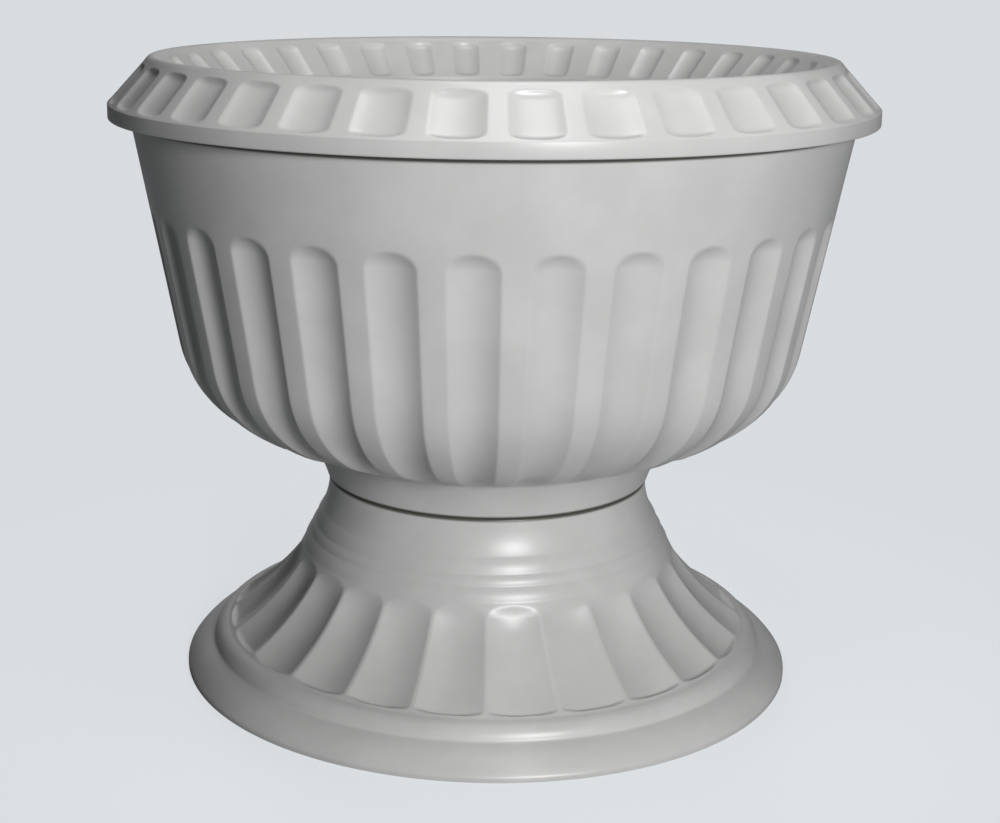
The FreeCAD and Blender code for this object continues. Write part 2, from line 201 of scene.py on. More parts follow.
def divided(points: list[Point], longest: float) -> list[Point]:
    """Splits the stretches of a section that are longer than a given length.

    Args:
        points: Points of the section.
        longest: Greatest length that a stretch may keep.

    Returns:
        The section with more points on its long stretches.
    """
    finer = [points[0]]
    for start, end in zip(points, points[1:]):
        parts = max(1, math.ceil(math.dist(start, end) / longest))
        finer += bowed(start, end, 0.0, parts)
    return finer


def outward(points: list[Point]) -> list[Point]:
    """Finds the unit direction that points out of the wall at each point of a section.

    Args:
        points: Section walked upwards on the outside, or downwards on the inside.

    Returns:
        Radius and height parts of the direction, one pair for each point.
    """
    sides = []
    for (r0, z0), (r1, z1) in zip(points, points[1:]):
        length = math.hypot(r1 - r0, z1 - z0)
        sides.append(((z1 - z0) / length, (r0 - r1) / length))
    sides = [sides[0]] + sides + [sides[-1]]
    normals = []
    for (a, b), (c, d) in zip(sides, sides[1:]):
        length = math.hypot(a + c, b + d)
        normals.append(((a + c) / length, (b + d) / length))
    return normals


def inset(points: list[Point], wall: float) -> list[Point]:
    """Moves a section into the material.

    Args:
        points: Points of the section.
        wall: Thickness of the wall.

    Returns:
        One moved point for each point.
    """
    return [(r - a * wall, z - b * wall) for (r, z), (a, b) in zip(points, outward(points))]


def on_line(start: Point, end: Point, z: float) -> Point:
    """Finds the point at a given height on the line through two points.

    Args:
        start: One point of the line.
        end: Another point, at another height.
        z: Height of the point that is asked for.

    Returns:
        The point at that height.
    """
    share = (z - start[1]) / (end[1] - start[1])
    return (start[0] + (end[0] - start[0]) * share, z)


def spread(total: float, near: tuple[float, ...], shares: tuple[float, ...]) -> list[float]:
    """Spreads places along a section, close together at its two ends.

    Args:
        total: Length of the section.
        near: Distances of the outer places from either end.
        shares: Middle places as shares of the length.

    Returns:
        Lengths from the start of the section, in order.
    """
    return [*near, *(total * share for share in shares), *(total - place for place in near[::-1])]


def walked(line: list[Point], places: list[float]) -> list[Point]:
    """Finds the points at given lengths along a section.

    Args:
        line: Points of the section.
        places: Lengths from its first point, all short of its end.

    Returns:
        One point for each length.
    """
    lengths = [0.0]
    for start, end in zip(line, line[1:]):
        lengths.append(lengths[-1] + math.dist(start, end))
    points = []
    for place in places:
        index = max(i for i, length in enumerate(lengths[:-1]) if length <= place)
        share = (place - lengths[index]) / (lengths[index + 1] - lengths[index])
        points.append(tuple(s + (e - s) * share for s, e in zip(line[index], line[index + 1])))
    return points


# ---- hollows that repeat round the axis -----------------------------------------------
class Roundness(Enum):
    """Shape of a hollow across its width: the power of its falling-off."""

    DISH = 2
    TRAY = 2.4


@dataclass(frozen=True)
class Hollows:
    """A ring of equal hollows.

    The phase is in degrees from the front towards +X, the share is the hollow's part of the pitch, and
    the columns are the places across half a pitch, from -1 to 1, at which the wedge has its points.
    """

    count: int
    phase: float
    share: float
    roundness: Roundness
    softness: float
    columns: tuple[float, ...]

    def dip(self, across: float, end: float, depth: float) -> float:
        """Works out how deep a hollow is at one place.

        Args:
            across: Place across the hollow, from 0 in its middle to 1 at its side.
            end: Place in its run-out, from 0 where it starts to 1 where the hollow ends.
            depth: Full depth.

        Returns:
            Depth there, with a soft edge instead of a crease.
        """
        power = self.roundness.value
        inside = 1 - abs(across) ** power - end ** power
        return depth * (inside + math.sqrt(inside * inside + self.softness)) / 2


@dataclass
class Station:
    """One point of a wall's section and the hollow that is pressed in there."""

    point: Point
    normal: Point
    depth: float = 0.0
    end: float = 0.0
    narrow: float = 1.0


def plain(points: list[Point]) -> list[Station]:
    """Makes stations without a hollow.

    Args:
        points: Points of a section.

    Returns:
        One station for each point.
    """
    return [Station(point, (0.0, 0.0)) for point in points]


def run_out(place: float, foot: float, head: float, foot_run: float, head_run: float) -> float:
    """Says how far a place is into the run-out at either end of a hollow.

    Args:
        place: Height or length along the section.
        foot: Where the hollow's lower end is.
        head: Where its upper end is.
        foot_run: Length over which the lower end runs out.
        head_run: Length over which the upper end runs out.

    Returns:
        0 in the full part, 1 at an end and more beyond it.
    """
    return max(0.0, (foot + foot_run - place) / foot_run, (place - head + head_run) / head_run)


# ---- modelling ------------------------------------------------------------------------
def copy_round(count: int, weld: float) -> None:
    """Copies the mesh that is being edited round the axis and welds the copies.

    Args:
        count: Number of copies in a full turn.
        weld: Distance in millimetres within which two points become one.
    """
    bpy.ops.mesh.select_all(action="SELECT")
    bpy.ops.mesh.spin(steps=count, angle=2 * math.pi, dupli=True, center=(0, 0, 0), axis=(0, 0, 1))
    bpy.ops.mesh.select_all(action="SELECT")
    bpy.ops.mesh.remove_doubles(threshold=weld * MM)


def press(piece: bpy.types.Object, hollows: Hollows, stations: list[Station]) -> None:
    """Presses the hollow into the rows of the wedge that is being edited.

    Args:
        piece: Object in edit mode, one row of vertices for each station and one that closes it.
        hollows: Pattern that gives the depth across the wedge.
        stations: Closed section of the wall.
    """
    mesh = bmesh.from_edit_mesh(piece.data)
    mesh.verts.ensure_lookup_table()
    width = len(hollows.columns)
    for row, station in enumerate(stations):
        if station.depth == 0:
            continue
        for column, across in enumerate(hollows.columns):
            side = across / (hollows.share * station.narrow)
            dip = hollows.dip(side, station.end, station.depth) * MM
            vertex = mesh.verts[row * width + column]
            radial = Vector((vertex.co.x, vertex.co.y, 0)).normalized()
            vertex.co -= radial * station.normal[0] * dip + Vector((0, 0, station.normal[1] * dip))
    bmesh.update_edit_mesh(piece.data)


def turn_wedge(name: str, hollows: Hollows, stations: list[Station]) -> bpy.types.Object:
    """Models one wedge of a moulding and copies it round the axis.

    Args:
        name: Name of the new object.
        hollows: Pattern whose pitch the wedge spans.
        stations: Closed section of the wall.

    Returns:
        The moulding as one closed mesh with its place in its vertices.
    """
    deselect()
    columns = hollows.columns
    pitch = 2 * math.pi / hollows.count
    first = stations[0].point
    bpy.ops.mesh.primitive_circle_add(vertices=len(columns), radius=first[0] * MM,
                                      location=(0, 0, first[1] * MM))
    piece = bpy.context.object
    piece.name = name
    bpy.ops.object.transform_apply(location=True, rotation=True, scale=True)
    bpy.ops.object.mode_set(mode="EDIT")
    mesh = bmesh.from_edit_mesh(piece.data)
    mesh.verts.ensure_lookup_table()
    bmesh.ops.delete(mesh, geom=[mesh.edges.get((mesh.verts[0], mesh.verts[-1]))], context="EDGES")
    for vertex, across in zip(mesh.verts, columns):
        angle = math.radians(hollows.phase) + across * pitch / 2
        vertex.co = Vector((math.sin(angle), -math.cos(angle), 0)) * first[0] * MM
        vertex.co.z = first[1] * MM
    bpy.ops.mesh.select_all(action="SELECT")
    for before, station in zip(stations, stations[1:] + stations[:1]):
        growth = station.point[0] / before.point[0]
        bpy.ops.mesh.extrude_region_move(
            TRANSFORM_OT_translate={"value": (0, 0, (station.point[1] - before.point[1]) * MM)})
        bpy.ops.transform.resize(value=(growth, growth, 1), center_override=(0, 0, 0))
    press(piece, hollows, stations)
    copy_round(hollows.count, WEDGE_WELD)
    bpy.ops.mesh.normals_make_consistent(inside=False)
    bpy.ops.object.mode_set(mode="OBJECT")
    return piece


@dataclass(frozen=True)
class Plates:
    """Equal upright radial plates, the first towards +X.  Sizes in millimetres."""

    name: str
    outline: tuple[Point, ...]
    thickness: float
    count: int
    edge: float = 0.4

    def cut(self) -> bpy.types.Object:
        """Models one plate and copies it round the axis.

        Returns:
            The plates as one object.
        """
        deselect()
        bpy.ops.mesh.primitive_circle_add(vertices=len(self.outline), radius=MM, fill_type="NGON")
        piece = bpy.context.object
        piece.name = self.name
        bpy.ops.object.mode_set(mode="EDIT")
        mesh = bmesh.from_edit_mesh(piece.data)
        for vertex, (radius, height) in zip(mesh.verts, self.outline):
            vertex.co = Vector((radius, -self.thickness / 2, height)) * MM
        bmesh.update_edit_mesh(piece.data)
        bpy.ops.mesh.select_all(action="SELECT")
        bpy.ops.mesh.extrude_region_move(TRANSFORM_OT_translate={"value": (0, self.thickness * MM, 0)})
        bpy.ops.mesh.select_all(action="SELECT")
        bpy.ops.mesh.normals_make_consistent(inside=False)
        bpy.ops.mesh.bevel(offset=self.edge * MM, segments=2, affect="EDGES")
        copy_round(self.count, PLATE_WELD)
        bpy.ops.object.mode_set(mode="OBJECT")
        return piece


def seat(piece: bpy.types.Object, body: str, finish: bpy.types.Material) -> None:
    """Smooths and dresses a piece and lets it ride on its body.

    Args:
        piece: Finished mesh.
        body: Moving body of the frame that carries it.
        finish: Material to wear.
    """
    choose(piece)
    bpy.ops.object.shade_smooth_by_angle(angle=math.radians(SHARP_ANGLE))
    piece.data.materials.clear()
    piece.data.materials.append(finish)
    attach(piece, body)
    triangles = sum(len(face.vertices) - 2 for face in piece.data.polygons)
    log.info("%s rides on %s, %d triangles", piece.name, body, triangles)


# ---- finishes -------------------------------------------------------------------------
@dataclass(frozen=True)
class PaintedShadeLine:
    """Ring where two mouldings meet, painted darker as the shade that falls in that crease.  Sizes in
    millimetres.
    """

    height: float
    half_width: float
    least_radius: float


@dataclass(frozen=True)
class MouldedPlastic:
    """Injection-moulded polyolefin: an even colour, a soft gloss and faint flow marks.

    The eye gets a satin highlight with a slightly uneven edge, because the skin follows the
    mould's fine blasting, and large pale clouds where the melt met or sank.
    """

    name: str
    colour: str
    cloud_colour: str
    roughness: float
    ior: float
    cloud_mm: float
    ripple_mm: float
    ripple_height_mm: float
    grain_mm: float
    grain_height_mm: float
    cloud_detail: float = 3.0
    cloud_roughness: float = 0.55
    cloud_range: tuple[float, float] = (0.42, 0.72)
    gloss_range: tuple[float, float] = (-0.05, 0.07)
    # Colour and rings of the painted shade in the creases where two mouldings meet.
    shade_line_colour: str = "#57554f"
    painted_shade_lines: tuple[PaintedShadeLine, ...] = ()

    def paint_crease_shade(self, tree: bpy.types.NodeTree, place: bpy.types.NodeSocket,
               colour: bpy.types.NodeSocket) -> bpy.types.NodeSocket:
        """Darkens the skin where two mouldings meet, as dust and water marks gather in that line.

        Args:
            tree: Node tree of the material.
            place: Object coordinates.
            colour: Colour of the clean skin.

        Returns:
            Colour with a soft painted shade line at each meeting of two mouldings.
        """
        flat = add_node(tree, "ShaderNodeVectorMath", {"operation": "MULTIPLY", 1: (1, 1, 0)}, {0: place})
        radius = add_node(tree, "ShaderNodeVectorMath", {"operation": "LENGTH"}, {0: flat.outputs["Vector"]})
        height = add_node(tree, "ShaderNodeSeparateXYZ", {}, {"Vector": place}).outputs["Z"]
        for line in self.painted_shade_lines:
            half = line.half_width * MM
            off = add_node(tree, "ShaderNodeMath",
                           {"operation": "SUBTRACT", 1: line.height * MM}, {0: height})
            away = add_node(tree, "ShaderNodeMath", {"operation": "ABSOLUTE"}, {0: off.outputs["Value"]})
            near = add_node(tree, "ShaderNodeMapRange",
                            {"interpolation_type": "SMOOTHSTEP", "From Min": half,
                             "From Max": SHADE_LINE_CORE * half}, {"Value": away.outputs["Value"]})
            outside = add_node(tree, "ShaderNodeMath",
                               {"operation": "GREATER_THAN", 1: line.least_radius * MM},
                               {0: radius.outputs["Value"]})
            amount = add_node(tree, "ShaderNodeMath", {"operation": "MULTIPLY"},
                              {0: near.outputs["Result"], 1: outside.outputs["Value"]})
            # Mixes the painted shade colour in along the crease.
            crease_shade = add_node(tree, "ShaderNodeMix",
                             {"data_type": "RGBA", MIX_SECOND: linear(self.shade_line_colour)},
                             {MIX_FACTOR: amount.outputs["Value"], MIX_FIRST: colour})
            colour = crease_shade.outputs[MIX_RESULT]
        return colour

    def material(self) -> bpy.types.Material:
        """Builds the node material.

        Returns:
            A new material that reads Object coordinates.
        """
        material = bpy.data.materials.new(self.name)
        tree = empty_tree(material)
        place = add_node(tree, "ShaderNodeTexCoord", {}, {}).outputs["Object"]
        # Clouds of the melt, a few centimetres across, barely paler than the rest.
        clouds = add_node(tree, "ShaderNodeTexNoise",
                          {"Scale": 1 / (self.cloud_mm * MM), "Detail": self.cloud_detail,
                           "Roughness": self.cloud_roughness}, {"Vector": place})
        paler = add_node(tree, "ShaderNodeMapRange",
                         {"From Min": self.cloud_range[0], "From Max": self.cloud_range[1]},
                         {"Value": clouds.outputs["Fac"]})
        colour = add_node(tree, "ShaderNodeMix",
                          {"data_type": "RGBA", MIX_FIRST: linear(self.colour),
                           MIX_SECOND: linear(self.cloud_colour)}, {MIX_FACTOR: paler.outputs["Result"]})
        # Shrinkage ripples bend the highlights, and the mould's blasting breaks their edge.
        ripple = add_node(tree, "ShaderNodeTexNoise",
                          {"Scale": 1 / (self.ripple_mm * MM), "Detail": 1.0}, {"Vector": place})
        grain = add_node(tree, "ShaderNodeTexNoise",
                         {"Scale": 1 / (self.grain_mm * MM), "Detail": 2.0}, {"Vector": place})
        wave = add_node(tree, "ShaderNodeBump", {"Strength": 1.0, "Distance": self.ripple_height_mm * MM},
                        {"Height": ripple.outputs["Fac"]})
        skin = add_node(tree, "ShaderNodeBump", {"Strength": 1.0, "Distance": self.grain_height_mm * MM},
                        {"Height": grain.outputs["Fac"], "Normal": wave.outputs["Normal"]})
        # The clouds are a little more or less glossy too.
        gloss = add_node(tree, "ShaderNodeMapRange",
                         {"To Min": self.roughness + self.gloss_range[0],
                          "To Max": self.roughness + self.gloss_range[1]},
                         {"Value": clouds.outputs["Fac"]})
        shader = add_node(tree, "ShaderNodeBsdfPrincipled", {"IOR": self.ior},
                          {"Base Color": self.paint_crease_shade(tree, place, colour.outputs[MIX_RESULT]),
                           "Roughness": gloss.outputs["Result"], "Normal": skin.outputs["Normal"]})
        add_node(tree, "ShaderNodeOutputMaterial", {}, {"Surface": shader.outputs["BSDF"]})
        return material


# The urn's finish has painted shade lines at the seam of bowl and pedestal and under the rim's skirt.
URN_PLASTIC = MouldedPlastic(
    name="polypropylene_injection_moulded_light_grey",
    colour="#c9c9c8", cloud_colour="#d2d2d1", roughness=0.34, ior=1.49,
    cloud_mm=45.0, ripple_mm=28.0, ripple_height_mm=0.10, grain_mm=1.6, grain_height_mm=0.012,
    painted_shade_lines=(PaintedShadeLine(109.8, 2.4, 89.5), PaintedShadeLine(313.4, 2.1, 197.0)))
PLUG_PLASTIC = MouldedPlastic(
    name="polyethylene_soft_moulded_grey",
    colour="#b9b8b4", cloud_colour="#c1c0bc", roughness=0.48, ior=1.51,
    cloud_mm=18.0, ripple_mm=9.0, ripple_height_mm=0.05, grain_mm=0.9, grain_height_mm=0.015)


# ---- the mouldings --------------------------------------------------------------------
@dataclass
class Bowl:
    """Deep fluted bowl on a short collar, with a ribbed floor and a drain boss.  Sizes in millimetres."""

    wall: float = 3.0
    seat_radius: float = 92.3
    seat_z: float = 110.0
    seat_round: float = 2.2
    seat_draft: float = 0.3
    collar_top: Point = (103.8, 131.8)
    collar_hollow: float = -1.2
    belly_foot: Point = (134.0, 143.0)
    belly_knee: Point = (168.8, 160.5)
    belly_top: Point = (173.2, 183.5)
    belly_end_z: float = 190.0
    rim_edge: Point = (199.6, 322.0)
    outer_round: float = 2.5
    outer_stretch: float = 9.0
    floor_z: float = 124.5
    floor_underside: float = 121.0
    floor_round: float = 0.6
    guide_radius: float = 89.5
    guide_top: float = 114.0
    recess_radius: float = 96.5
    drain_radius: float = 14.0
    boss_radius: float = 17.5
    boss_foot: float = 114.0
    flute_depth: float = 4.0
    flute_foot_depth: float = 2.6
    flute_head_z: float = 269.0
    flute_arch: float = 10.0
    flute_foot_z: float = 132.6
    flute_foot_run: float = 2.2
    arch_margin: float = 6.0
    arch_steps: int = 20
    ribs: Plates = Plates(
        "bowl_floor_ribs", ((17.0, 114.0), (84.7, 114.0), (84.7, 121.3), (17.0, 121.3)), 3.0, 8)
    keys: Plates = Plates(
        "bowl_keys", ((84.0, 114.0), (89.8, 114.0), (96.5, 121.3), (84.0, 121.3)), 3.0, 4)
    flutes: Hollows = field(default_factory=lambda: Hollows(
        30, -2.2, 0.655, Roundness.DISH, 0.004,
        (-1.0, -0.84, -0.74, -0.69, -0.655, -0.62, -0.56, -0.46, -0.33, -0.17, 0.0,
         0.17, 0.33, 0.46, 0.56, 0.62, 0.655, 0.69, 0.74, 0.84, 1.0)))

    def outer_section(self) -> list[Point]:
        """Draws the outside of the wall, from its seat on the pedestal up to its rim.

        Returns:
            Points, close together where the flutes end in their arches.
        """
        corner = (self.seat_radius, self.seat_z)
        lip = (self.seat_radius + self.seat_draft, self.seat_z + self.seat_round)
        points = flowing((self.seat_radius - self.seat_round, self.seat_z), corner, lip, 4)
        points += bowed(lip, self.collar_top, self.collar_hollow, 6)
        wall_foot = on_line(self.belly_top, self.rim_edge, self.belly_end_z)
        points += [self.belly_foot] + flowing(self.belly_foot, self.belly_knee, wall_foot, 12)
        points = divided(softened(points + [self.rim_edge], self.outer_round), self.outer_stretch)
        low = self.flute_head_z - self.flute_arch - self.arch_margin
        high = self.flute_head_z + self.arch_margin
        first = next(index for index, point in enumerate(points) if point[1] > low)
        last = next(index for index, point in enumerate(points) if point[1] > high)
        arches = bowed(points[first], points[last], 0.0, self.arch_steps)
        return points[:first + 1] + arches + points[last + 1:]

    def stations(self) -> list[Station]:
        """Walks the wall's closed section: up the outside, down the inside and back under the floor.

        Returns:
            Stations with the flutes pressed in from both sides of the wall.
        """
        outer = self.outer_section()
        above = next(index for index, point in enumerate(outer) if point[1] > self.floor_z + self.wall)
        inner = inset(outer, self.wall)[above:]
        inner[0] = on_line(inner[0], inner[1], self.floor_z)
        inner[-1] = on_line(inner[-2], inner[-1], self.rim_edge[1])
        floor = [inner[0], (self.drain_radius, self.floor_z), (self.drain_radius, self.boss_foot),
                 (self.boss_radius, self.boss_foot), (self.boss_radius, self.floor_underside),
                 (self.recess_radius, self.floor_underside), (self.guide_radius, self.guide_top),
                 (self.guide_radius, self.seat_z)]
        return (self.fluted(outer, outer) + self.fluted(inner[::-1], outer[above:][::-1], -1.0)
                + plain(divided(softened(floor, self.floor_round), PLAIN_STRETCH)[1:]))

    def fluted(self, points: list[Point], outside: list[Point], side: float = 1.0) -> list[Station]:
        """Gives each point of one side of the wall the depth of its flute.

        Args:
            points: Section of this side.
            outside: Points of the outer side that lie across the wall from them.
            side: 1 where the section is walked upwards and -1 where it is walked downwards.

        Returns:
            One station for each point.
        """
        made = []
        low, high = self.collar_top[1], self.belly_top[1]
        for point, (_, z), (a, b) in zip(points, outside, outward(points)):
            climb = min(1.0, max(0.0, (z - low) / (high - low)))
            depth = self.flute_foot_depth + (self.flute_depth - self.flute_foot_depth) * climb
            end = run_out(z, self.flute_foot_z, self.flute_head_z, self.flute_foot_run, self.flute_arch)
            made.append(Station(point, (a * side, b * side), depth if end < FAR_OUT else 0.0, end))
        return made

    def build(self, finish: bpy.types.Material) -> None:
        """Models the bowl with its floor ribs and keys and dresses it.

        Args:
            finish: Material of the large mouldings.
        """
        shell = turn_wedge("bowl_shell", self.flutes, self.stations())
        seat(shell, "bowl", finish)
        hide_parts("bowl")
        seat(self.ribs.cut(), "bowl", finish)
        seat(self.keys.cut(), "bowl", finish)


@dataclass
class Pedestal:
    """Hollow trumpet foot with scallops, beads, a ledge and a notched spigot.  Sizes in millimetres."""

    wall: float = 3.0
    foot_radius: float = 174.0
    foot_edge: float = 2.5
    foot_bulge: float = 1.6
    foot_round: float = 1.2
    crease: Point = (158.5, 14.5)
    flare_foot: Point = (150.0, 23.0)
    flare_lip_bulge: float = 2.0
    flare_head: Point = (106.0, 68.5)
    flare_hollow: float = -4.2
    beads: tuple[Point, ...] = ((102.2, 76.0), (99.3, 81.5), (95.2, 90.0))
    bead_bulge: float = 0.6
    neck_foot: Point = (91.3, 104.0)
    neck_hollow: float = -0.6
    neck_round: float = 0.7
    inner_round: float = 1.5
    ledge_z: float = 110.0
    ledge_round: float = 2.2
    spigot_radius: float = 88.9
    spigot_top: float = 120.0
    spigot_root: float = 1.0
    spigot_round: float = 0.5
    spigot_columns: tuple[float, ...] = (-1.0, -0.5, 0.0, 0.5, 1.0)
    notch_foot: float = 113.4
    notch_width: float = 4.2
    notch_overshoot: float = 5.0
    scallop_depth: float = 3.2
    scallop_margin: float = 1.5
    scallop_foot_run: float = 3.0
    scallop_head_run: float = 6.0
    scallop_head: float = 0.2
    scallop_fade: float = 13.0
    scallop_near: tuple[float, ...] = (0.4, 0.9, 1.5, 2.1, 2.7, 3.3, 4.0, 4.8, 6.0, 7.5)
    webs: Plates = Plates(
        "pedestal_webs",
        ((76.0, 100.0), (112.0, 30.0), (134.0, 30.0), (100.0, 64.0), (97.5, 74.0), (88.0, 100.0)), 2.4, 8)
    scallops: Hollows = field(default_factory=lambda: Hollows(
        24, -7.0, 0.94, Roundness.DISH, 0.003,
        (-1.0, -0.97, -0.94, -0.91, -0.86, -0.76, -0.6, -0.4, -0.2, 0.0,
         0.2, 0.4, 0.6, 0.76, 0.86, 0.91, 0.94, 0.97, 1.0)))

    def neck(self) -> list[Point]:
        """Draws the outside above the scallops: the beads, the waist and the rounded ledge.

        Returns:
            Points from the head of the flare to the ledge.
        """
        points = [self.flare_head]
        for start, end in zip((self.flare_head,) + self.beads, self.beads):
            points += bowed(start, end, self.bead_bulge, 5)
        points += bowed(self.beads[-1], self.neck_foot, self.neck_hollow, 5)
        radius = self.neck_foot[0]
        return points + flowing((radius, self.ledge_z - self.ledge_round), (radius, self.ledge_z),
                                (radius - self.ledge_round, self.ledge_z), 4)

    def inside(self, flare: list[Point]) -> list[Point]:
        """Draws the inside of the wall, from the floor up to the spigot.

        Args:
            flare: Outer section of the flare.

        Returns:
            Corners of the inner section.
        """
        bore = self.spigot_radius - self.wall
        foot = inset([(self.foot_radius, 0.0), (self.foot_radius, self.foot_edge), self.crease], self.wall)
        neck = inset([self.flare_head, *self.beads, self.neck_foot, (self.neck_foot[0], self.ledge_z)],
                     self.wall)
        return [(foot[0][0], 0.0), foot[1], *inset(flare, self.wall + self.scallop_depth), *neck[1:-1],
                (bore, self.ledge_z - self.wall), (bore, self.ledge_z)]

    def stations(self) -> list[Station]:
        """Walks the wall's closed section: up the outside, over the ledge and down the inside.

        Returns:
            Stations with the scallops pressed into the outside of the flare.
        """
        edge = (self.foot_radius, self.foot_edge)
        foot = [(self.foot_radius, 0.0), edge] + bowed(edge, self.crease, self.foot_bulge, 8)
        foot += bowed(self.crease, self.flare_foot, self.flare_lip_bulge, 6)
        flare = [self.flare_foot] + bowed(self.flare_foot, self.flare_head, self.flare_hollow, 14)
        inner = self.inside(flare)
        lower = softened(foot + flare[1:2], self.foot_round)[:-1]
        upper = softened(flare[-2:-1] + self.neck() + inner[-1:], self.neck_round)[1:]
        back = divided(softened(inner[::-1], self.inner_round), PLAIN_STRETCH)[1:]
        return plain(lower) + self.scalloped(flare) + plain(upper + back)

    def scalloped(self, flare: list[Point]) -> list[Station]:
        """Gives each point of the flare the depth of its scallop.

        Args:
            flare: Section of the flare, walked upwards.

        Returns:
            Stations, close together where the scallops run out.
        """
        total = sum(math.dist(start, end) for start, end in zip(flare, flare[1:]))
        places = spread(total, self.scallop_near, tuple(step / 16 for step in range(2, 15)))
        points = walked(flare, places)
        head = total - self.scallop_margin
        made = []
        for point, normal, place in zip(points, outward(points), places):
            end = run_out(place, self.scallop_margin, head, self.scallop_foot_run, self.scallop_head_run)
            fade = min(1.0, self.scallop_head + (1 - self.scallop_head) * (total - place) / self.scallop_fade)
            made.append(Station(point, normal, self.scallop_depth * fade, end))
        return made

    def spigot(self) -> bpy.types.Object:
        """Models the notched ring that stands up inside the bowl's collar.

        Returns:
            The ring with its four notches.
        """
        bore, root = self.spigot_radius - self.wall, self.ledge_z - self.spigot_root
        section = softened([(self.spigot_radius, root), (self.spigot_radius, self.spigot_top),
                            (bore, self.spigot_top), (bore, root)], self.spigot_round)
        pattern = Hollows(self.scallops.count, 0.0, 1.0, Roundness.DISH, 0.0, self.spigot_columns)
        ring = turn_wedge("pedestal_spigot", pattern, plain(section))
        height = self.spigot_top - self.notch_foot
        reach = 2 * (self.spigot_radius + self.notch_overshoot)
        for size in ((reach, self.notch_width, 2 * height), (self.notch_width, reach, 2 * height)):
            deselect()
            bpy.ops.mesh.primitive_cube_add(size=1, location=(0, 0, (self.notch_foot + height) * MM))
            cutter = bpy.context.object
            cutter.scale = [value * MM for value in size]
            bpy.ops.object.transform_apply(location=True, rotation=True, scale=True)
            choose(ring)
            notch = ring.modifiers.new("notch", "BOOLEAN")
            notch.operation = "DIFFERENCE"
            notch.object = cutter
            bpy.ops.object.modifier_apply(modifier=notch.name)
            bpy.data.objects.remove(cutter)
        return ring

    def build(self, finish: bpy.types.Material) -> None:
        """Models the pedestal with its spigot and webs and dresses it.

        Args:
            finish: Material of the large mouldings.
        """
        shell = turn_wedge("pedestal_shell", self.scallops, self.stations())
        seat(shell, "pedestal", finish)
        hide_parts("pedestal")
        seat(self.spigot(), "pedestal", finish)
        seat(self.webs.cut(), "pedestal", finish)


